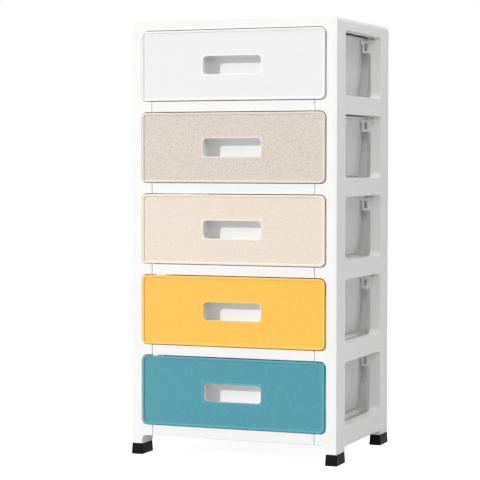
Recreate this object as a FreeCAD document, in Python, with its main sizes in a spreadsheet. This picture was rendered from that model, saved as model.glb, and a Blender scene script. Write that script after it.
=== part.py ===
import FreeCAD, Part
import math
import os
import re
import Sketcher
from FreeCAD import Vector

# A five-tier plastic drawer tower: two open-sided panels on capped legs, a lid,
# shelf frames between the tiers, back panels, and five drawers that slide out.
# Millimetres. X is the width, Y runs from the front to the back, Z is up, and
# the origin is on the floor under the middle of the tower.

TIERS = 5

# Driving dimensions. Each one becomes a cell of the spreadsheet.
SIZES = {
    # Frame as a whole
    "body_width": 400,
    "body_depth": 309,
    "panel_thickness": 20.8,
    "skin": 2,
    "edge_round": 1.1,
    "seam_gap": 0.9,
    "overrun": 1,
    "same_place": 0.01,
    # Heights from the floor up
    "foot_height": 20,
    "leg_height": 29,
    "rail_underside": 36,
    "bottom_rail_height": 20.3,
    "rail_height": 19.1,
    "lid_height": 18.3,
    # Drawer covers
    "cover_height": 127,
    "cover_depth": 6,
    "cover_gap": 1.4,
    "cover_corner": 9.5,
    "cover_wall": 2,
    "cover_skin": 2.3,
    "front_proud": 2.5,
    "border_width": 4,
    "border_corner": 5.5,
    "border_round": 0.8,
    "field_recess": 1.2,
    "slot_width": 112,
    "slot_height": 32.5,
    "slot_corner": 7,
    "slot_round": 0.7,
    # Side windows
    "front_post": 47.5,
    "rear_post": 47.4,
    "sill_rise": 7.5,
    "head_drop": 3.5,
    "sill_corner": 12,
    "head_corner": 8,
    # Legs and feet
    "leg_depth": 47,
    "leg_arch": 8,
    "leg_fillet": 5,
    "spigot_inset": 2.2,
    "spigot_clearance": 0.2,
    "foot_floor": 3,
    "foot_flare": 1,
    "foot_corner": 2,
    "foot_round": 1,
    # Tabs that carry the shelf frames
    "tab_reach": 20.5,
    "tab_depth": 18,
    "tenon_length": 8,
    "tenon_width": 8,
    "tenon_clearance": 0.2,
    # Guides that hold the drawer rims
    "guide_drop": 5.9,
    "guide_cap": 5.8,
    "guide_depth": 10,
    "guide_outreach": 9.8,
    "guide_inreach": 3.6,
    "stem_width": 13.4,
    "stem_length": 17.5,
    "stem_wall": 3.6,
    # Shelf frames
    "shelf_rise": 8.6,
    "ledge_width": 9.5,
    "ledge_drop": 5,
    "shelf_setback": 0.5,
    # Back panels
    "back_width": 332,
    "back_depth": 22.5,
    "back_inset": 2.75,
    "back_clearance": 0.2,
    # Lid
    "lid_round": 9,
    "lid_web": 0.6,
    # Drawer tubs
    "tub_wall": 2,
    "tub_floor": 2,
    "tub_seat": 0.3,
    "tub_clearance": 0.7,
    "side_draft": 11,
    "rear_draft": 6,
    "tub_corner": 5,
    "tub_toe": 4,
    "toe_share": 0.293,
    "rear_clearance": 1.5,
    "rim_reach": 8.5,
    "rear_rim_reach": 1.5,
    "rim_thickness": 4,
    # Drawer faces
    "plate_thickness": 2.2,
    "plate_inset": 0.8,
    "cup_depth": 20,
    "cup_wall": 2,
    "cup_margin": 0.8,
    "cup_clearance": 0.1,
    # Drawer travel and its stop
    "travel": 200,
    "heel_length": 10,
    "heel_width": 8,
    "heel_depth": 4,
    "heel_inset": 22,
    "heel_clearance": 0.5,
}

# How many ribbed cells each moulding has across and along, or up.
SHELF_CELLS = (4, 4)
BACK_CELLS = (5, 2)
LID_CELLS = (6, 5)
BAND_CELLS = (4, 1)
POST_CELLS = (1, 2)

# Values worked out from the driving dimensions, as formulas over their names.
DERIVED = {
    "half_width": "body_width / 2",
    "cover_face": "-(body_depth + front_proud + foot_flare) / 2",
    "front_face": "cover_face + front_proud",
    "rear_face": "front_face + body_depth",
    "jamb": "half_width - panel_thickness",
    "pitch": "cover_height + cover_gap * 2 + rail_height",
    "bottom_rail_top": "rail_underside + bottom_rail_height",
    "cover_low": "bottom_rail_top + cover_gap",
    "cover_high": "cover_low + cover_height",
    "upper_rail_low": "cover_high + cover_gap",
    "lid_low": "cover_high + cover_gap + pitch * last_tier",
    "lid_high": "lid_low + lid_height",
    "cover_half": "jamb - cover_gap",
    "cover_back": "cover_face + cover_depth",
    "field_face": "cover_face + field_recess",
    "field_back": "field_face + cover_skin",
    "slot_middle": "cover_low + cover_height / 2",
    "slot_low": "slot_middle - slot_height / 2",
    "slot_high": "slot_middle + slot_height / 2",
    "slot_half": "slot_width / 2",
    "window_front": "front_face + front_post",
    "window_rear": "rear_face - rear_post",
    "window_low": "cover_low + sill_rise",
    "window_high": "cover_high - head_drop",
    "opening_corner": "cover_corner + cover_gap",
    "tab_end": "jamb - tab_reach",
    "rear_tab_front": "rear_face - tab_depth",
    "leg_rear": "front_face + leg_depth",
    "rear_leg_front": "rear_face - leg_depth",
    "spigot_low": "foot_floor + spigot_clearance",
    "front_tenon_y": "front_face + tab_depth / 2",
    "rear_tenon_y": "rear_face - tab_depth / 2",
    "tenon_half": "tenon_width / 2",
    "mortise_half": "tenon_half + tenon_clearance",
    "guide_high": "window_high - guide_drop",
    "guide_low": "guide_high - guide_cap",
    "stem_low": "guide_low - stem_length",
    "stem_face": "jamb - stem_width",
    "shelf_half": "tab_end - seam_gap",
    "shelf_high": "cover_low + shelf_rise",
    "plate_back": "cover_back + plate_thickness",
    "shelf_front": "plate_back + shelf_setback",
    "back_rear": "rear_face - back_inset",
    "back_front": "back_rear - back_depth",
    "back_half": "back_width / 2",
    "tub_low": "shelf_high + tub_seat",
    "tub_high": "guide_high + tub_seat + rim_thickness",
    "tub_half": "stem_face - guide_inreach - tub_clearance",
    "tub_half_low": "tub_half - side_draft",
    "rim_half": "tub_half + rim_reach",
    "rim_rear": "back_front - rear_clearance",
    "tub_rear": "rim_rear - rear_rim_reach",
    "tub_rear_low": "tub_rear - rear_draft",
    "plate_half": "cover_half - plate_inset",
    "plate_low": "cover_low + plate_inset",
    "plate_high": "cover_high - plate_inset",
    "plate_corner": "cover_corner - plate_inset",
    "cup_front": "field_back + cup_clearance",
    "cup_back": "cover_face + cup_depth",
    "cup_half": "slot_half + cup_margin",
    "cup_low": "slot_low - cup_margin",
    "cup_high": "slot_high + cup_margin",
    "cup_corner": "slot_corner + cup_margin",
    "heel_middle": "tub_half_low - heel_inset",
    "heel_rear": "tub_rear_low - tub_toe - heel_clearance",
    "heel_front": "heel_rear - heel_length",
    "groove_half": "heel_width / 2 + heel_clearance",
    "deck_half": "heel_middle - groove_half - skin",
    "groove_front": "heel_front - travel - heel_clearance",
    "groove_depth": "heel_depth - tub_seat + heel_clearance",
}

doc = FreeCAD.newDocument("DrawerTower")
sheet = doc.addObject("Spreadsheet::Sheet", "Sizes")
for row, (word, size) in enumerate(SIZES.items(), start=1):
    sheet.set(f"A{row}", word)
    sheet.set(f"B{row}", str(size))
    sheet.setAlias(f"B{row}", word)
doc.recompute()


def formula(text):
    """Turn a formula over named sizes into one over the sheet's cells."""
    def swap(match):
        word = match.group(0)
        if word == "last_tier":
            return str(TIERS - 1)
        if word in DERIVED:
            return "(" + formula(DERIVED[word]) + ")"
        if word in SIZES:
            return "Sizes." + word
        return word
    return re.sub(r"[a-z][a-z_]*", swap, text)


def number(text):
    """The value that a formula has now, for a sketch's first guess."""
    return float(sheet.evalExpression(formula(text).replace("Sizes.", "")))


def bind(item, path, text):
    item.setExpression(path, formula(text))


def new_body(label):
    body = doc.addObject("PartDesign::Body", label)
    body.Label = label
    return body


def new_sketch(body, name, plane, level="0"):
    """A sketch on one of the body's own planes, moved along the plane's normal."""
    support = [item for item in body.Origin.OriginFeatures if item.Role == plane][0]
    sketch = body.newObject("Sketcher::SketchObject", name)
    sketch.AttachmentSupport = (support, [""])
    sketch.MapMode = "FlatFace"
    bind(sketch, "AttachmentOffset.Base.z", level)
    return sketch


def outline(sketch, *loops):
    """Closed outlines of level and upright edges. Each corner is two formulas
    and, where it is rounded, a third for its radius."""
    first_shape, first_tie = sketch.GeometryCount, sketch.ConstraintCount
    shapes, ties, bonds = [], [], []

    def tie(text, *what):
        if text:
            bonds.append((len(ties), text))
        ties.append(Sketcher.Constraint(*what))

    for corners in loops:
        spots = [Vector(number(c[0]), number(c[1]), 0) for c in corners]
        radii = [number(c[2]) if len(c) > 2 else 0 for c in corners]
        count = len(corners)
        ways = [(spots[(i + 1) % count] - spots[i]).normalize() for i in range(count)]
        base = first_shape + len(shapes)
        for i in range(count):
            after = (i + 1) % count
            shapes.append(Part.LineSegment(spots[i] + ways[i] * radii[i],
                                           spots[after] - ways[i] * radii[after]))
            if abs(ways[i].x) > abs(ways[i].y):
                tie("", "Horizontal", base + i)
                tie(corners[i][1], "DistanceY", -1, 1, base + i, 1, spots[i].y)
            else:
                tie("", "Vertical", base + i)
                tie(corners[i][0], "DistanceX", -1, 1, base + i, 1, spots[i].x)
        for i in range(count):
            line, before = base + i, base + (i - 1) % count
            if not radii[i]:
                tie("", "Coincident", before, 2, line, 1)
                continue
            way_in, way_out = ways[i - 1], ways[i]
            centre = spots[i] - way_in * radii[i] + way_out * radii[i]
            turns_left = way_in.x * way_out.y - way_in.y * way_out.x > 0
            start, end = (way_out * -1, way_in) if turns_left else (way_in, way_out * -1)
            begin = math.atan2(start.y, start.x)
            finish = math.atan2(end.y, end.x)
            if finish < begin:
                finish += 2 * math.pi
            arc = first_shape + len(shapes)
            circle = Part.Circle(centre, Vector(0, 0, 1), radii[i])
            shapes.append(Part.ArcOfCircle(circle, begin, finish))
            near_end, far_end = (1, 2) if turns_left else (2, 1)
            tie("", "Tangent", before, 2, arc, near_end)
            tie("", "Tangent", arc, far_end, line, 1)
            tie(corners[i][2], "Radius", arc, radii[i])
    sketch.addGeometry(shapes, False)
    sketch.addConstraint(ties)
    for place, text in bonds:
        bind(sketch, f"Constraints[{first_tie + place}]", text)


def box_loop(left, right, low, high, low_radius=None, high_radius=None):
    """The corners of a rectangle, rounded where radii are given."""
    low_end = (low_radius,) if low_radius else ()
    high_end = (high_radius or low_radius,) if low_radius else ()
    return [(left, low) + low_end, (right, low) + low_end,
            (right, high) + high_end, (left, high) + high_end]


def rectangle(sketch, *sides):
    outline(sketch, box_loop(*sides))


def pad(body, sketch, length, reverse=False):
    feature = body.newObject("PartDesign::Pad", sketch.Name + "Pad")
    feature.Profile = sketch
    feature.Reversed = reverse
    bind(feature, "Length", length)
    return feature


def pocket(body, sketch, length, reverse=False):
    feature = body.newObject("PartDesign::Pocket", sketch.Name + "Pocket")
    feature.Profile = sketch
    feature.Reversed = reverse
    bind(feature, "Length", length)
    return feature


def cells(left, right, low, high, counts):
    """The corners of the ribbed cells that fill a field, one rib apart."""
    across, up = counts
    width = f"({right} - ({left}) - skin * {across - 1}) / {across}"
    height = f"({high} - ({low}) - skin * {up - 1}) / {up}"
    loops = []
    for i in range(across):
        start = f"{left} + ({width} + skin) * {i}"
        for j in range(up):
            base = f"{low} + ({height} + skin) * {j}"
            loops.append(box_loop(start, f"{start} + {width}", base, f"{base} + {height}"))
    return loops


def edges_of(feature, wanted):
    """Names of a feature's edges whose box passes a test."""
    names = []
    for i, edge in enumerate(feature.Shape.Edges, start=1):
        if wanted(edge.BoundBox):
            names.append(f"Edge{i}")
    return names


def fillet(body, feature, name, radius, wanted):
    doc.recompute()
    names = edges_of(feature, wanted)
    item = body.newObject("PartDesign::Fillet", name)
    item.Base = (feature, names)
    bind(item, "Radius", radius)
    return item


def near(value, text):
    """True where a measured value is at a place given by a formula."""
    return abs(value - number(text)) < number("same_place")


def flat_at(low, high, text):
    return near(low, text) and near(high, text)


def loft(body, name, kind, levels):
    """A drafted block through rounded rectangles, each at its own height."""
    sketches = []
    for i, (level, *sides) in enumerate(levels, start=1):
        sketch = new_sketch(body, f"{name}_{i}", "XY_Plane", level)
        rectangle(sketch, *sides)
        sketches.append(sketch)
    block = body.newObject(f"PartDesign::{kind}Loft", name)
    block.Profile = sketches[0]
    block.Sections = sketches[1:]
    block.Ruled = True
    return block


def clone(master, label, lift):
    """The same piece again, one or more tiers up."""
    body = new_body(label)
    copy = body.newObject("PartDesign::FeatureBase", label + "_copy")
    copy.BaseFeature = master
    body.Tip = copy
    bind(body, "Placement.Base.z", lift)
    return body


def side_panel():
    """The right panel: a ribbed wall with five windows, two legs, the tabs that
    carry the shelf frames and the guides that hold the drawer rims."""
    body = new_body("right_side_panel")
    wall = new_sketch(body, "PanelOutline", "YZ_Plane", "jamb")
    outline(wall, [
        ("front_face", "foot_height + spigot_clearance"),
        ("leg_rear", "foot_height + spigot_clearance"),
        ("leg_rear", "leg_height", "leg_fillet"),
        ("rear_leg_front", "leg_height", "leg_fillet"),
        ("rear_leg_front", "foot_height + spigot_clearance"),
        ("rear_face", "foot_height + spigot_clearance"),
        ("rear_face", "lid_low"),
        ("front_face", "lid_low"),
    ])
    pad(body, wall, "panel_thickness")

    # Windows, and hollow cells on the inner side with the ribs left between them.
    windows, hollows = [], []
    for i in range(TIERS):
        low, high = f"window_low + pitch * {i}", f"window_high + pitch * {i}"
        windows.append(box_loop("window_front", "window_rear", low, high,
                                "sill_corner", "head_corner"))
        hollows += cells("front_face + skin", "window_front - skin", low, high, POST_CELLS)
        hollows += cells("window_rear + skin", "rear_face - skin", low, high, POST_CELLS)
        hollows += cells("window_front", "window_rear", f"{high} - pitch + skin",
                         f"{low} - skin", BAND_CELLS)
    sketch = new_sketch(body, "Windows", "YZ_Plane", "half_width + overrun")
    outline(sketch, *windows)
    pocket(body, sketch, "panel_thickness + overrun * 2")
    sketch = new_sketch(body, "Cells", "YZ_Plane", "jamb - overrun")
    outline(sketch, *hollows)
    pocket(body, sketch, "panel_thickness - skin + overrun", True)

    # Tabs at the rails, with rounded inner corners towards the drawers, and sockets
    # in them for the shelf frames' tenons.
    rails = [("rail_underside", "leg_arch", "bottom_rail_top")]
    for i in range(TIERS - 1):
        low = f"upper_rail_low + pitch * {i}"
        rails.append((low, "opening_corner", f"{low} + rail_height"))
    for side, level in (("Front", "-front_face"), ("Rear", "-rear_tab_front")):
        sketch = new_sketch(body, side + "Tabs", "XZ_Plane", level)
        outline(sketch, *[[
            ("tab_end", low), ("jamb", low, corner),
            ("jamb", f"{low} - {corner} - overrun"),
            ("jamb + skin", f"{low} - {corner} - overrun"),
            ("jamb + skin", f"{high} + opening_corner + overrun"),
            ("jamb", f"{high} + opening_corner + overrun"),
            ("jamb", high, "opening_corner"), ("tab_end", high),
        ] for low, corner, high in rails])
        pad(body, sketch, "tab_depth", True)
    sockets = []
    for low, corner, high in rails:
        middle = f"({low} + {high}) / 2"
        for place in ("front_tenon_y", "rear_tenon_y"):
            sockets.append(box_loop(f"{place} - mortise_half", f"{place} + mortise_half",
                                    f"{middle} - mortise_half", f"{middle} + mortise_half"))
    sketch = new_sketch(body, "Sockets", "YZ_Plane", "tab_end - overrun")
    outline(sketch, *sockets)
    pocket(body, sketch, "tenon_length + tenon_clearance + overrun", True)

    # Guides: a cap that the drawer rim rests on, and a hollow stem under it.
    guides = []
    for i in range(TIERS):
        stem, low, high = [f"{size} + pitch * {i}"
                           for size in ("stem_low", "guide_low", "guide_high")]
        guides.append([
            ("stem_face", stem), ("jamb", stem), ("jamb", low),
            ("jamb + guide_outreach", low), ("jamb + guide_outreach", high),
            ("stem_face - guide_inreach", high), ("stem_face - guide_inreach", low),
            ("stem_face", low),
        ])
        guides.append(box_loop("stem_face + stem_wall", "jamb - stem_wall",
                               f"{stem} + stem_wall", low))
    for side, level in (("Front", "-(window_front - skin - guide_depth)"),
                        ("Rear", "-(window_rear - guide_depth)")):
        sketch = new_sketch(body, side + "Guides", "XZ_Plane", level)
        outline(sketch, *guides)
        pad(body, sketch, "guide_depth + overrun", True)

    # Spigots that the foot caps push onto, and tenons that locate the lid.
    spigots, tenons = [], []
    for front, rear in (("front_face", "leg_rear"), ("rear_leg_front", "rear_face")):
        spigots.append(box_loop("jamb + spigot_inset", "half_width - spigot_inset",
                                f"{front} + spigot_inset", f"{rear} - spigot_inset"))
    for middle in ("window_front - front_post / 2", "window_rear + rear_post / 2"):
        tenons.append(box_loop("half_width - lid_round - tenon_clearance - tenon_width",
                               "half_width - lid_round - tenon_clearance",
                               f"{middle} - tenon_half", f"{middle} + tenon_half"))
    sketch = new_sketch(body, "Spigots", "XY_Plane", "spigot_low")
    outline(sketch, *spigots)
    pad(body, sketch, "foot_height + overrun - spigot_low")
    sketch = new_sketch(body, "LidTenons", "XY_Plane", "lid_low - overrun")
    outline(sketch, *tenons)
    last = pad(body, sketch, "tenon_length + overrun")

    # Rounded edges on the outside, the front and the tabs, but not along the lid.
    def shows(box):
        on_side = flat_at(box.XMin, box.XMax, "half_width")
        on_front = flat_at(box.YMin, box.YMax, "front_face")
        at_lid = flat_at(box.ZMin, box.ZMax, "lid_low")
        return (on_side or on_front) and not at_lid

    fillet(body, last, "OuterEdges", "edge_round", shows)

    # The rounded corner under the lid. Its web is thinner than the edges' rounding,
    # so it comes after them.
    sketch = new_sketch(body, "LidCorner", "XZ_Plane", "-front_face")
    outline(sketch, [
        ("jamb - opening_corner - overrun", "lid_low - lid_web"),
        ("jamb", "lid_low - lid_web", "opening_corner"),
        ("jamb", "lid_low - lid_web - opening_corner - overrun"),
        ("jamb + skin", "lid_low - lid_web - opening_corner - overrun"),
        ("jamb + skin", "lid_low"), ("jamb - opening_corner - overrun", "lid_low"),
    ])
    pad(body, sketch, "tab_depth", True)
    return body


def left_panel(right):
    """The left panel is the right one mirrored."""
    panel = doc.addObject("Part::Mirroring", "left_side_panel")
    panel.Label = "left_side_panel"
    panel.Source = right
    panel.Base = Vector(0, 0, 0)
    panel.Normal = Vector(1, 0, 0)
    return panel


def foot_cap(label, side, front):
    """A soft cap pushed onto a leg's spigot, a little wider at the floor."""
    body = new_body(label)
    left = "jamb" if side == "right" else "-half_width"
    right = "half_width" if side == "right" else "-jamb"
    rear = f"({front} + leg_depth)"
    levels = []
    for level, out in (("0", "(foot_flare - foot_round)"), ("foot_round", "foot_flare"),
                       ("foot_height", "0")):
        levels.append((level, f"{left} - {out}", f"{right} + {out}",
                       f"{front} - {out}", f"{rear} + {out}", "foot_corner"))
    loft(body, label + "_shell", "Additive", levels)
    hollow = new_sketch(body, label + "_hollow", "XY_Plane", "foot_floor")
    gap = "(spigot_inset - spigot_clearance)"
    rectangle(hollow, f"{left} + {gap}", f"{right} - {gap}",
              f"{front} + {gap}", f"{rear} - {gap}")
    pocket(body, hollow, "foot_height", True)
    return body


def lid():
    """The full-width top, rounded along its sides and ribbed underneath."""
    body = new_body("top_cover")
    profile = new_sketch(body, "LidProfile", "XZ_Plane", "-front_face")
    outline(profile, [
        ("-half_width", "lid_low"), ("half_width", "lid_low"),
        ("half_width", "lid_high", "lid_round"), ("-half_width", "lid_high", "lid_round"),
    ])
    block = pad(body, profile, "body_depth", True)

    def shows(box):
        on_end = (flat_at(box.YMin, box.YMax, "front_face")
                  or flat_at(box.YMin, box.YMax, "rear_face"))
        return on_end and not flat_at(box.ZMin, box.ZMax, "lid_low")

    fillet(body, block, "LidEdges", "edge_round", shows)
    hollow = new_sketch(body, "LidCells", "XY_Plane", "lid_low - overrun")
    outline(hollow, *cells("-(half_width - lid_round)", "half_width - lid_round",
                           "front_face + skin", "rear_face - skin", LID_CELLS))
    pocket(body, hollow, "lid_height - skin + overrun", True)
    return body


def shelf_frame(label, low, height):
    """A shelf between two tiers: the rail that shows between the drawers, the
    ribbed deck that the drawer slides on, lugs under the back panel's ends, and
    tenons into the side panels."""
    body = new_body(label)
    high = f"({low} + {height} + cover_gap + shelf_rise)"
    middle = f"({low} + {height} / 2)"
    block = new_sketch(body, label + "_block", "XY_Plane", low)
    rectangle(block, "-shelf_half", "shelf_half", "front_face", "rear_face")
    pad(body, block, f"{high} - {low}")
    step = new_sketch(body, label + "_step", "XY_Plane", f"{high} + overrun")
    rectangle(step, "-(shelf_half + overrun)", "shelf_half + overrun",
              "front_face - overrun", "shelf_front")
    pocket(body, step, "cover_gap + shelf_rise + overrun")
    ledge = new_sketch(body, label + "_ledge", "XY_Plane", f"{high} + overrun")
    outline(ledge,
            box_loop("-(shelf_half + overrun)", "-(shelf_half - ledge_width)",
                     "shelf_front - overrun", "back_front"),
            box_loop("shelf_half - ledge_width", "shelf_half + overrun",
                     "shelf_front - overrun", "back_front"))
    last = pocket(body, ledge, "ledge_drop + overrun")
    fillet(body, last, label + "_edges", "edge_round",
           lambda box: flat_at(box.YMin, box.YMax, "front_face"))

    # Cells in the underside: deep under the deck, shallower under the ledges and
    # the rail.
    across, along = SHELF_CELLS
    start, end = "shelf_front + skin", "rear_face - skin"
    for name, depth, loops in (
            ("_deck_cells", f"{high} - {low} - skin",
             cells("-deck_half", "deck_half", start, end, SHELF_CELLS)),
            ("_ledge_cells", f"{high} - ledge_drop - {low} - skin",
             cells("-(shelf_half - skin)", "-(deck_half + skin)", start, end, (1, along))
             + cells("deck_half + skin", "shelf_half - skin", start, end, (1, along))),
            ("_rail_cells", f"{height} - skin",
             cells("-(shelf_half - skin)", "shelf_half - skin",
                   "front_face + skin", "shelf_front", (across, 1)))):
        hollow = new_sketch(body, label + name, "XY_Plane", f"{low} - overrun")
        outline(hollow, *loops)
        pocket(body, hollow, f"{depth} + overrun", True)

    # Grooves that stop the drawer's heels at full travel.
    groove = new_sketch(body, label + "_groove", "XY_Plane", f"{high} + overrun")
    outline(groove, *[box_loop(f"{place} - groove_half", f"{place} + groove_half",
                               "groove_front", "back_front")
                      for place in ("-heel_middle", "heel_middle")])
    pocket(body, groove, "groove_depth + overrun")

    lugs = new_sketch(body, label + "_lugs", "XY_Plane", f"{low} + {height} + back_clearance")
    outline(lugs,
            box_loop("-back_half", "-(shelf_half - skin)", "back_front", "rear_face"),
            box_loop("shelf_half - skin", "back_half", "back_front", "rear_face"))
    pad(body, lugs, "cover_gap + shelf_rise - back_clearance")
    for side, level in (("_left", "-(shelf_half + tenon_length)"),
                        ("_right", "shelf_half - skin")):
        tenons = new_sketch(body, label + side + "_tenons", "YZ_Plane", level)
        outline(tenons, *[box_loop(f"{place} - tenon_half", f"{place} + tenon_half",
                                   f"{middle} - tenon_half", f"{middle} + tenon_half")
                          for place in ("front_tenon_y", "rear_tenon_y")])
        pad(body, tenons, "skin + tenon_length")
    return body


def back_panel(label):
    """A ribbed tray that closes the back of one tier."""
    body = new_body(label)
    low = "(shelf_high + back_clearance)"
    high = "(upper_rail_low - back_clearance)"
    block = new_sketch(body, label + "_block", "XZ_Plane", "-back_front")
    rectangle(block, "-back_half", "back_half", low, high)
    pad(body, block, "back_depth", True)
    hollow = new_sketch(body, label + "_cells", "XZ_Plane", "-(back_rear + overrun)")
    outline(hollow, *cells("-(back_half - skin)", "back_half - skin",
                           f"{low} + skin", f"{high} - skin", BACK_CELLS))
    pocket(body, hollow, "back_depth - skin + overrun", True)
    return body


def drawer_tub(label):
    """The drawer's box, open towards its face: drafted walls, a rim that rests on
    the guides and two heels that stop the travel."""
    body = new_body(label)
    for name, kind, wall, front, low, toe in (
            ("_shell", "Additive", "0", "plate_back", "tub_low", "tub_toe"),
            ("_hollow", "Subtractive", "tub_wall", "plate_back - overrun",
             "(tub_low + tub_floor)", "(tub_toe - tub_floor)")):
        corner = f"tub_corner - {wall}"
        levels = []
        for rise, inset in (("0", toe), (f"{toe} * toe_share", f"{toe} * toe_share"),
                            (toe, "0")):
            edge = f"({wall} + {inset})"
            levels.append((f"{low} + {rise}", f"-(tub_half_low - {edge})",
                           f"tub_half_low - {edge}", front, f"tub_rear_low - {edge}",
                           None, corner))
        levels.append(("tub_high", f"-(tub_half - {wall})", f"tub_half - {wall}",
                       front, f"tub_rear - {wall}", None, corner))
        loft(body, label + name, kind, levels)

    rim = new_sketch(body, label + "_rim", "XY_Plane", "tub_high")
    inner_half, inner_rear = "(tub_half - tub_wall / 2)", "tub_rear - tub_wall / 2"
    outline(rim, [
        (f"-{inner_half}", "plate_back"), ("-rim_half", "plate_back"),
        ("-rim_half", "rim_rear", "tub_corner + rear_rim_reach"),
        ("rim_half", "rim_rear", "tub_corner + rear_rim_reach"),
        ("rim_half", "plate_back"), (inner_half, "plate_back"),
        (inner_half, inner_rear, "tub_corner - tub_wall / 2"),
        (f"-{inner_half}", inner_rear, "tub_corner - tub_wall / 2"),
    ])
    pad(body, rim, "rim_thickness", True)
    heel = new_sketch(body, label + "_heel", "XY_Plane", "tub_low - heel_depth")
    outline(heel, *[box_loop(f"{middle} - heel_width / 2", f"{middle} + heel_width / 2",
                             "heel_front", "heel_rear")
                    for middle in ("-heel_middle", "heel_middle")])
    pad(body, heel, "heel_depth + tub_floor / 2")
    return body


def drawer_face(label):
    """The plate that closes the box's front and carries the cover, with the finger
    cup behind the slot. The cup is a little wider than the slot, so the cover's edge
    hides its rim."""
    body = new_body(label)
    plate = new_sketch(body, label + "_plate", "XZ_Plane", "-cover_back")
    rectangle(plate, "-plate_half", "plate_half", "plate_low", "plate_high", "plate_corner")
    pad(body, plate, "plate_thickness", True)
    cup = new_sketch(body, label + "_cup", "XZ_Plane", "-cup_front")
    rectangle(cup, "-(cup_half + cup_wall)", "cup_half + cup_wall",
              "cup_low - cup_wall", "cup_high + cup_wall", "cup_corner + cup_wall")
    pad(body, cup, "cup_back + cup_wall - cup_front", True)
    grip = new_sketch(body, label + "_grip", "XZ_Plane", "-(cup_front - overrun)")
    rectangle(grip, "-cup_half", "cup_half", "cup_low", "cup_high", "cup_corner")
    pocket(body, grip, "cup_back - cup_front + overrun")
    return body


def drawer_cover(label):
    """The coloured front: a raised border round a recessed field, with the slot."""
    body = new_body(label)
    face = new_sketch(body, label + "_face", "XZ_Plane", "-cover_face")
    rectangle(face, "-cover_half", "cover_half", "cover_low", "cover_high", "cover_corner")
    pad(body, face, "cover_depth", True)
    back = new_sketch(body, label + "_back", "XZ_Plane", "-(cover_back + overrun)")
    rectangle(back, "-(cover_half - cover_wall)", "cover_half - cover_wall",
              "cover_low + cover_wall", "cover_high - cover_wall", "cover_corner - cover_wall")
    pocket(body, back, "cover_back - field_back + overrun", True)
    field = new_sketch(body, label + "_field", "XZ_Plane", "-(cover_face - overrun)")
    rectangle(field, "-(cover_half - border_width)", "cover_half - border_width",
              "cover_low + border_width", "cover_high - border_width", "border_corner")
    pocket(body, field, "field_recess + overrun")
    slot = new_sketch(body, label + "_slot", "XZ_Plane", "-(cover_face - overrun)")
    rectangle(slot, "-slot_half", "slot_half", "slot_low", "slot_high", "slot_corner")
    last = pocket(body, slot, "cover_depth + overrun")
    rounded = fillet(body, last, label + "_border_edges", "border_round",
                     lambda box: flat_at(box.YMin, box.YMax, "cover_face"))
    body.Tip = rounded

    def round_slot(box):
        reach = number("slot_half + overrun")
        inside = box.XMax < reach and box.XMin > -reach
        return inside and flat_at(box.YMin, box.YMax, "field_face")

    fillet(body, rounded, label + "_slot_edges", "slot_round", round_slot)
    return body


pieces = []
right = side_panel()
pieces += [right, left_panel(right), lid()]
for side in ("left", "right"):
    pieces.append(foot_cap(f"front_{side}_foot", side, "front_face"))
    pieces.append(foot_cap(f"rear_{side}_foot", side, "rear_leg_front"))
pieces.append(shelf_frame("shelf_frame_1", "rail_underside", "bottom_rail_height"))
second_shelf = shelf_frame("shelf_frame_2", "upper_rail_low", "rail_height")
pieces.append(second_shelf)
for tier in range(3, TIERS + 1):
    pieces.append(clone(second_shelf, f"shelf_frame_{tier}", f"pitch * {tier - 2}"))
for kind, make in (("back_panel", back_panel), ("drawer_tub", drawer_tub),
                   ("drawer_face", drawer_face), ("drawer_cover", drawer_cover)):
    master = make(f"{kind}_1")
    pieces.append(master)
    for tier in range(2, TIERS + 1):
        pieces.append(clone(master, f"{kind}_{tier}", f"pitch * {tier - 1}"))

doc.recompute()
for item in doc.Objects:
    if "Invalid" in item.State or "Error" in item.State:
        raise RuntimeError(f"{item.Label} failed: {item.State}")
for piece in pieces:
    if piece.Shape.isNull() or not piece.Shape.isValid():
        raise RuntimeError(f"{piece.Label} has no sound shape")
    if len(piece.Shape.Solids) != 1:
        raise RuntimeError(f"{piece.Label} is {len(piece.Shape.Solids)} solids")

os.makedirs("parts", exist_ok=True)
for piece in pieces:
    piece.Shape.exportStep(f"parts/{piece.Label}.step")
    box = piece.Shape.BoundBox
    print(f"{piece.Label}: {box.XLength:.1f} x {box.YLength:.1f} x {box.ZLength:.1f} mm,"
          f" {piece.Shape.Volume / 1000:.1f} cm3")
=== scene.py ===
# %% [markdown]
# # A five-drawer plastic tower, dressed in Blender
#
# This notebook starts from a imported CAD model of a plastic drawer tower: two
# open-sided white panels on black foot caps, a lid, shelves, back panels, and
# five drawers with coloured fronts. Every shape is in the CAD model already, so
# the work here is finish and light. Each plastic gets a material that follows
# how the real one was moulded, and the tower stands in plain studio light.

# %% Load the model
import math

import bpy
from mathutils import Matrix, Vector


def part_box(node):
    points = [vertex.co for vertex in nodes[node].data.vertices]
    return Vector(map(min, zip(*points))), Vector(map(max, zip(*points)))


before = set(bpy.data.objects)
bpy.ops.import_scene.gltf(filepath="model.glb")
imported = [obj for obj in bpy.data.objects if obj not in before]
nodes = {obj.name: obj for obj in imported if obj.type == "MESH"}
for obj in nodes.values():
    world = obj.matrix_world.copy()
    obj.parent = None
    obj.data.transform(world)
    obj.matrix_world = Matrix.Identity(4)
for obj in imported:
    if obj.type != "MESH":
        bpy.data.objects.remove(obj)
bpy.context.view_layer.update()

# %% [markdown]
# ## Colours and nodes
#
# Colours are picked as hex values, the way a paint program or a plastics
# supplier's chart gives them. Blender's shaders work with linear light, so one
# function does the conversion. A second small function adds a shader node, sets
# its values and links its inputs, which keeps each material short enough to read.

# %% Helpers for materials
MM = 0.001


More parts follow.
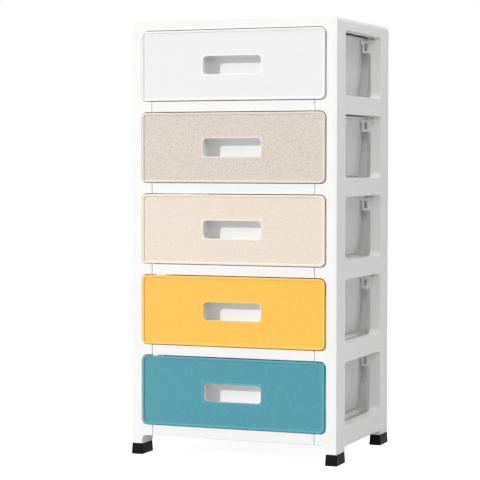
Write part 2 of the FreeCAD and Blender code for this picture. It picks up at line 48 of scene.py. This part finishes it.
def linear(hex_colour):
    """An sRGB hex colour as linear red, green, blue and alpha."""
    channels = [int(hex_colour[i:i + 2], 16) / 255 for i in (1, 3, 5)]
    out = [c / 12.92 if c <= 0.04045 else ((c + 0.055) / 1.055) ** 2.4 for c in channels]
    return (*out, 1.0)


def add_node(tree, kind, settings=None, links=None):
    """Add a node, set its inputs or properties, and link its inputs. An input is
    given by name, or by number where two share a name."""
    node = tree.nodes.new(kind)
    for name, value in (settings or {}).items():
        if isinstance(name, int) or name in node.inputs:
            node.inputs[name].default_value = value
        else:
            setattr(node, name, value)
    for name, source in (links or {}).items():
        tree.links.new(source, node.inputs[name])
    return node


def new_material(name):
    """A material with only its output node, and the place of each point in metres."""
    material = bpy.data.materials.new(name)
    material.use_nodes = True
    tree = material.node_tree
    tree.nodes.clear()
    output = add_node(tree, "ShaderNodeOutputMaterial")
    place = add_node(tree, "ShaderNodeTexCoord").outputs["Object"]
    return material, tree, output, place


def pattern_scale(size_mm):
    """The texture scale that gives features about this many millimetres across."""
    return 1 / (size_mm * MM)


def finish_parts(material, wanted):
    """Give a material to every CAD part whose name passes a test."""
    names = [name for name in nodes if wanted(name)]
    for name in names:
        nodes[name].data.materials[0] = material
    print(material.name, "on", len(names), "parts")


print("white #ffffff is", linear("#ffffff"), "and a 2 mm pattern has scale", pattern_scale(2))

# %% [markdown]
# ## White frame: injection-moulded polypropylene
#
# The frame is white polypropylene from a polished mould. To the eye it is a
# clean, faintly glossy white. Two things keep it from looking like paint: the
# broad, very shallow waves that a thin wall takes on as it shrinks over its
# ribs, and a fine satin texture that breaks up the highlights. A little light
# enters the plastic, which softens the edges of its shadows.
#
# The satin grit is finer than a millimetre on the real thing. It is drawn coarser
# here, so that it shows at all.

# %% Frame material
POLYPROPYLENE_IOR = 1.49
SHRINK_WAVE_MM = 45
SHRINK_DEPTH_MM = 0.5
SHRINK_STRENGTH = 0.25
SATIN_GRIT_MM = 1.6
SATIN_DEPTH_MM = 0.06
SATIN_STRENGTH = 0.12
SMOOTHER, ROUGHER = 0.05, 0.07


def moulded_polypropylene(name, light_hex, dark_hex, roughness, soak, reach_mm):
    """White plastic with shallow shrink waves and a satin surface. The soak is the
    share of the light that enters the plastic, and the reach is how far it goes."""
    material, tree, output, place = new_material(name)
    waves = add_node(tree, "ShaderNodeTexNoise",
                     {"Scale": pattern_scale(SHRINK_WAVE_MM), "Detail": 1.0},
                     {"Vector": place})
    grit = add_node(tree, "ShaderNodeTexNoise",
                    {"Scale": pattern_scale(SATIN_GRIT_MM), "Detail": 2.0},
                    {"Vector": place})
    tint = add_node(tree, "ShaderNodeMix",
                    {"data_type": "RGBA", 6: linear(dark_hex), 7: linear(light_hex)},
                    {"Factor": waves.outputs["Fac"]})
    polish = add_node(tree, "ShaderNodeMapRange",
                      {"To Min": roughness - SMOOTHER, "To Max": roughness + ROUGHER},
                      {"Value": grit.outputs["Fac"]})
    broad = add_node(tree, "ShaderNodeBump",
                     {"Strength": SHRINK_STRENGTH, "Distance": SHRINK_DEPTH_MM * MM},
                     {"Height": waves.outputs["Fac"]})
    fine = add_node(tree, "ShaderNodeBump",
                    {"Strength": SATIN_STRENGTH, "Distance": SATIN_DEPTH_MM * MM},
                    {"Height": grit.outputs["Fac"], "Normal": broad.outputs["Normal"]})
    surface = add_node(tree, "ShaderNodeBsdfPrincipled",
                       {"IOR": POLYPROPYLENE_IOR, "Subsurface Weight": soak,
                        "Subsurface Radius": (1.0, 1.0, 1.0),
                        "Subsurface Scale": reach_mm * MM},
                       {"Base Color": tint.outputs[2], "Roughness": polish.outputs["Result"],
                        "Normal": fine.outputs["Normal"]})
    tree.links.new(surface.outputs["BSDF"], output.inputs["Surface"])
    return material


frame_white = moulded_polypropylene("white_moulded_polypropylene", "#fafaf9", "#f7f7f6",
                                    roughness=0.38, soak=0.1, reach_mm=3)
finish_parts(frame_white, lambda name: "panel" in name or "shelf" in name or name == "top_cover")

# %% [markdown]
# ## Drawer boxes: milky polypropylene
#
# The drawer boxes are the same plastic with less white pigment, so more of the
# light soaks into their thin walls. Seen through the side windows they look
# pale grey and soft, mostly because little light reaches them there. The front
# plate with its finger cup is a little thicker, and it is painted a little less
# bright, as painted shade for the cup, which lies in a recess behind the slot.

# %% Drawer box and drawer face materials
drawer_milky = moulded_polypropylene("milky_moulded_polypropylene", "#fcfdfd", "#f9fafa",
                                     roughness=0.34, soak=0.15, reach_mm=2)
finish_parts(drawer_milky, lambda name: name.startswith("drawer_tub"))
# This white is a little darker: painted shade for the finger cup's recess.
drawer_face_painted_shade = moulded_polypropylene("white_drawer_polypropylene_painted_shade", "#efefef", "#ececec",
                                     roughness=0.36, soak=0.2, reach_mm=3)
finish_parts(drawer_face_painted_shade, lambda name: name.startswith("drawer_face"))

# %% [markdown]
# ## Drawer fronts: where the grain lies
#
# The covers are moulded in colour against a steel plate etched with a leather
# pattern. The pattern fills only the recessed field. The raised border and a
# narrow band round the finger slot stay smooth, as the tool maker leaves them,
# and they are painted a little lighter than the field, as a painted highlight.
# A mask from a few Math nodes finds the field: it measures how far each point
# is from the middle of the cover, across and up. A painted image could do the
# same, but this needs only the cover's own box and three sizes.

# %% Mask for the grain
BORDER_MM = 4.6
SLOT_HALF_MM = (56, 16.25)
SLOT_BAND_MM = 3


def inside_of(tree, axes, half_x, half_z):
    """1 where a point is within a rectangle's half width and half height, else 0."""
    across = add_node(tree, "ShaderNodeMath", {"operation": "LESS_THAN", 1: half_x},
                      {0: axes.outputs["X"]})
    up = add_node(tree, "ShaderNodeMath", {"operation": "LESS_THAN", 1: half_z},
                  {0: axes.outputs["Z"]})
    both = add_node(tree, "ShaderNodeMath", {"operation": "MULTIPLY"},
                    {0: across.outputs[0], 1: up.outputs[0]})
    return both.outputs[0]


def grain_mask(tree, place, cover_name):
    """1 on the grained field of a cover, 0 on its border and round its slot."""
    low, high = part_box(cover_name)
    middle = (low + high) / 2
    apart = add_node(tree, "ShaderNodeVectorMath",
                     {"operation": "SUBTRACT", 1: (middle.x, middle.y, middle.z)}, {0: place})
    size = add_node(tree, "ShaderNodeVectorMath", {"operation": "ABSOLUTE"},
                    {0: apart.outputs["Vector"]})
    axes = add_node(tree, "ShaderNodeSeparateXYZ", None, {"Vector": size.outputs["Vector"]})
    border = BORDER_MM * MM
    field = inside_of(tree, axes, high.x - middle.x - border, high.z - middle.z - border)
    band = inside_of(tree, axes, *[(half + SLOT_BAND_MM) * MM for half in SLOT_HALF_MM])
    mask = add_node(tree, "ShaderNodeMath", {"operation": "SUBTRACT"}, {0: field, 1: band})
    return mask.outputs[0]


print("smooth border", BORDER_MM, "mm, smooth band round the slot", SLOT_BAND_MM, "mm")

# %% [markdown]
# ## Drawer fronts: the leather grain
#
# A leather grain is a field of small rounded pebbles with creases between them.
# A Voronoi texture gives the pebbles, and a noise bends its cells so that they
# don't look like tiles. The creases are painted a little darker, as painted
# shade, and a bump sinks them by a few tenths of a millimetre.
# Real pebbles in such a grain are about 1.5 mm across, too fine for this picture,
# so they are drawn about half as large again.

# %% Grain material
PEBBLE_MM = 2.3
PEBBLE_SOFTNESS = 0.6
BEND_MM = PEBBLE_MM * 2.5
BEND_SHARE = 0.006
CREASE_START, CREASE_END = 0.25, 0.75
CREASE_STRENGTH = 0.6
COVER_IOR = 1.5
COVER_ROUGHNESS = 0.42


def grained_cover(name, pebble_hex, crease_shade_hex, border_highlight_hex, depth_mm, cover_name):
    """Coloured plastic with a leather grain on its field, its creases painted darker
    as painted shade, and a smooth border painted lighter as a painted highlight.
    """
    material, tree, output, place = new_material(name)
    bend = add_node(tree, "ShaderNodeTexNoise",
                    {"Scale": pattern_scale(BEND_MM), "Detail": 3.0}, {"Vector": place})
    bent = add_node(tree, "ShaderNodeMix", {"data_type": "VECTOR", "Factor": BEND_SHARE},
                    {4: place, 5: bend.outputs["Color"]})
    pebbles = add_node(tree, "ShaderNodeTexVoronoi",
                       {"feature": "SMOOTH_F1", "Scale": pattern_scale(PEBBLE_MM),
                        "Smoothness": PEBBLE_SOFTNESS}, {"Vector": bent.outputs[1]})
    creases = add_node(tree, "ShaderNodeMapRange",
                       {"From Min": CREASE_START, "From Max": CREASE_END},
                       {"Value": pebbles.outputs["Distance"]})
    mask = grain_mask(tree, place, cover_name)
    masked = add_node(tree, "ShaderNodeMath", {"operation": "MULTIPLY"},
                      {0: creases.outputs["Result"], 1: mask})
    # The creases get the darker crease colour: painted shade.
    grain = add_node(tree, "ShaderNodeMix",
                     {"data_type": "RGBA", 6: linear(pebble_hex), 7: linear(crease_shade_hex)},
                     {"Factor": creases.outputs["Result"]})
    # The border and the slot band get the lighter border colour: a painted highlight.
    colour = add_node(tree, "ShaderNodeMix", {"data_type": "RGBA", 6: linear(border_highlight_hex)},
                      {"Factor": mask, 7: grain.outputs[2]})
    relief = add_node(tree, "ShaderNodeBump",
                      {"Strength": CREASE_STRENGTH, "Distance": depth_mm * MM, "invert": True},
                      {"Height": masked.outputs[0]})
    surface = add_node(tree, "ShaderNodeBsdfPrincipled",
                       {"IOR": COVER_IOR, "Roughness": COVER_ROUGHNESS},
                       {"Base Color": colour.outputs[2], "Normal": relief.outputs["Normal"]})
    tree.links.new(surface.outputs["BSDF"], output.inputs["Surface"])
    return material


print("pebbles", PEBBLE_MM, "mm across")

# %% [markdown]
# ## Drawer fronts: five colours
#
# From the bottom up the covers are teal, warm yellow, cream, warm beige and
# white. The beige cover has the deepest grain and the darkest painted shade in
# its creases, and on the white one the grain hardly shows.

# %% Cover materials
# Each row is a name, the pebbles' colour, the creases' colour, darker as painted
# shade, the border's colour, lighter as a painted highlight, and the depth of
# the grain in millimetres, from the lowest drawer up.
COVERS = [
    ("teal_grained_polypropylene", "#4d9bab", "#4591a1", "#55a3b2", 0.2),
    ("yellow_grained_polypropylene", "#ffc957", "#fbbf49", "#ffcd61", 0.2),
    ("cream_grained_polypropylene", "#f3e5d5", "#e8dac8", "#f4eadb", 0.25),
    ("beige_grained_polypropylene", "#e5dbd0", "#cdc1b5", "#e8ddd1", 0.35),
    ("white_grained_polypropylene", "#f1f1f1", "#eeeeee", "#f5f5f5", 0.12),
]
for tier, (name, *looks) in enumerate(COVERS, start=1):
    cover_name = f"drawer_cover_{tier}"
    nodes[cover_name].data.materials[0] = grained_cover(name, *looks, cover_name)
    print(name, "on", cover_name)

# %% [markdown]
# ## Foot caps: black moulded plastic
#
# The caps are plain black plastic from a matt, sand-blasted mould. A fine, even
# grit scatters the highlight, so the caps look dark grey where light falls on
# them and nearly black on their shaded sides. The grit is drawn coarser than
# the real one, which is finer than this picture can show.

# %% Foot material
CAP_GRIT_MM = 1.2
CAP_GRIT_DEPTH_MM = 0.1
CAP_GRIT_STRENGTH = 0.3
CAP_IOR = 1.5
CAP_ROUGHNESS = 0.6
CAP_GLOSS = 0.1


def matt_black_plastic():
    """Black plastic with a fine grit that scatters its highlight."""
    material, tree, output, place = new_material("black_matt_moulded_plastic")
    grit = add_node(tree, "ShaderNodeTexNoise",
                    {"Scale": pattern_scale(CAP_GRIT_MM), "Detail": 3.0}, {"Vector": place})
    tint = add_node(tree, "ShaderNodeMix",
                    {"data_type": "RGBA", 6: linear("#050506"), 7: linear("#0b0b0c")},
                    {"Factor": grit.outputs["Fac"]})
    relief = add_node(tree, "ShaderNodeBump",
                      {"Strength": CAP_GRIT_STRENGTH, "Distance": CAP_GRIT_DEPTH_MM * MM},
                      {"Height": grit.outputs["Fac"]})
    surface = add_node(tree, "ShaderNodeBsdfPrincipled",
                       {"IOR": CAP_IOR, "Roughness": CAP_ROUGHNESS,
                        "Specular IOR Level": CAP_GLOSS},
                       {"Base Color": tint.outputs[2], "Normal": relief.outputs["Normal"]})
    tree.links.new(surface.outputs["BSDF"], output.inputs["Surface"])
    return material


finish_parts(matt_black_plastic(), lambda name: name.endswith("_foot"))

# %% [markdown]
# ## Floor and background
#
# Product pictures like this one are taken on white paper. The floor is a large
# pale sheet that keeps the tower's soft shadow. The white behind it comes from
# the world, which the camera and the glossy plastic see as plain white, while
# its light on the tower is set apart, at a plain level.

# %% Floor and world
PAPER_RADIUS = 9
PAPER_CORNERS = 96
PAPER_GLOW = 0.9
PAPER_TONE_MM = 60
AMBIENT = 0.2
WHITE = (1, 1, 1, 1)


def seen_directly(tree):
    """1 for rays from the camera, and for those that a gloss or glass sends on."""
    rays = add_node(tree, "ShaderNodeLightPath")
    clear = add_node(tree, "ShaderNodeMath", {"operation": "MAXIMUM"},
                     {0: rays.outputs["Is Camera Ray"], 1: rays.outputs["Is Transmission Ray"]})
    seen = add_node(tree, "ShaderNodeMath", {"operation": "MAXIMUM"},
                    {0: clear.outputs[0], 1: rays.outputs["Is Glossy Ray"]})
    return seen.outputs[0]


def white_paper():
    """Paper that the camera sees as white, with the tower's shadow kept on it."""
    material, tree, output, place = new_material("white_paper")
    tone = add_node(tree, "ShaderNodeTexNoise",
                    {"Scale": pattern_scale(PAPER_TONE_MM), "Detail": 2.0}, {"Vector": place})
    tint = add_node(tree, "ShaderNodeMix",
                    {"data_type": "RGBA", 6: linear("#cacaca"), 7: linear("#cecece")},
                    {"Factor": tone.outputs["Fac"]})
    matt = add_node(tree, "ShaderNodeBsdfDiffuse", None, {"Color": tint.outputs[2]})
    glow = add_node(tree, "ShaderNodeEmission", {"Strength": PAPER_GLOW})
    both = add_node(tree, "ShaderNodeAddShader", None, {0: matt.outputs[0], 1: glow.outputs[0]})
    pick = add_node(tree, "ShaderNodeMixShader", None,
                    {0: seen_directly(tree), 1: matt.outputs[0], 2: both.outputs[0]})
    tree.links.new(pick.outputs[0], output.inputs["Surface"])
    return material


bpy.ops.mesh.primitive_circle_add(vertices=PAPER_CORNERS, radius=PAPER_RADIUS, fill_type="NGON")
floor = bpy.context.object
floor.name = "paper_floor"
floor.data.materials.append(white_paper())

world = bpy.data.worlds.new("studio")
bpy.context.scene.world = world
world.use_nodes = True
sky = world.node_tree
sky.nodes.clear()
light = add_node(sky, "ShaderNodeBackground", {"Color": WHITE, "Strength": AMBIENT})
backdrop = add_node(sky, "ShaderNodeBackground", {"Color": WHITE, "Strength": 1.0})
blend = add_node(sky, "ShaderNodeMixShader", None,
                 {0: seen_directly(sky), 1: light.outputs[0], 2: backdrop.outputs[0]})
add_node(sky, "ShaderNodeOutputWorld", None, {"Surface": blend.outputs[0]})
print("ambient light", AMBIENT, "paper glow", PAPER_GLOW)

# %% [markdown]
# ## Soft lamps
#
# Four softboxes carry the soft part of the light. A small one on the left lets
# the fronts darken a little to the right, a broad fill on the right opens up
# the shaded side, and one overhead lights the lid's rounded sides and the
# window sills. The fourth stands behind, so that the back isn't lost in shade
# when the tower is turned.

# %% Softboxes
TOWER_MIDDLE = Vector((0, -0.15, 0.42))
# Each row is a name, the direction from the tower, the distance and the width
# in metres, and the power in watts.
SOFTBOXES = [
    ("left_softbox", (-12, -10, 1), 1.3, 0.5, 2),
    ("fill_softbox", (10, -9, 8), 2.6, 1.4, 14),
    ("top_softbox", (5, -1, 12), 2.2, 1.4, 17),
    ("back_softbox", (-9, 20, 9), 2.6, 1.2, 16),
]


def hang_lamp(name, lamp, direction, distance):
    """Hang a lamp at a distance from the middle of the tower, so that it faces it."""
    holder = bpy.data.objects.new(name, lamp)
    way = Vector(direction).normalized()
    holder.location = TOWER_MIDDLE + way * distance
    holder.rotation_euler = way.to_track_quat("Z", "Y").to_euler()
    bpy.context.scene.collection.objects.link(holder)
    print(name, "at", [round(c, 2) for c in holder.location])


for name, direction, distance, width, watts in SOFTBOXES:
    lamp = bpy.data.lights.new(name, "AREA")
    lamp.shape = "SQUARE"
    lamp.size = width
    lamp.energy = watts
    hang_lamp(name, lamp, direction, distance)

# %% [markdown]
# ## Key lamp
#
# The key is a distant lamp to the upper left, in front of the tower. Its place
# follows from the shadow in the finger slots: with a cup 20 mm deep, the shadow
# is 28 mm wide at the left and 14 mm high at the top, so the light comes from
# 28 left, 20 forward and 14 up. The shadow is nearly the same at every drawer,
# which only a distant lamp gives, so this one is a sun.

# %% Key lamp
KEY_DIRECTION = (-28, -20, 14)
KEY_DISTANCE = 3
KEY_STRENGTH = 2.42
KEY_WIDTH_DEGREES = 2.2

key = bpy.data.lights.new("key_sun", "SUN")
key.energy = KEY_STRENGTH
key.angle = math.radians(KEY_WIDTH_DEGREES)
hang_lamp("key_sun", key, KEY_DIRECTION, KEY_DISTANCE)

# %% [markdown]
# ## Camera
#
# The picture was taken with a long lens from the right, a little above the
# middle of the tower's height. The lens and the place were solved from the
# tower's corners, so the render and the picture lie on top of each other.

# %% Camera
LENS_MM = 137.5
SENSOR_MM = 36
CAMERA_PLACE = (1.2318, -3.2305, 0.5462)
DOWN_DEGREES = 2.515
TURN_DEGREES = 21.568

camera = bpy.data.objects.new("camera", bpy.data.cameras.new("camera"))
camera.data.lens = LENS_MM
camera.data.sensor_width = SENSOR_MM
camera.location = CAMERA_PLACE
camera.rotation_euler = (math.radians(90 - DOWN_DEGREES), 0, math.radians(TURN_DEGREES))
bpy.context.scene.collection.objects.link(camera)
bpy.context.scene.camera = camera
bpy.context.scene.view_settings.view_transform = "Standard"
print("camera at", [round(c, 3) for c in camera.location])
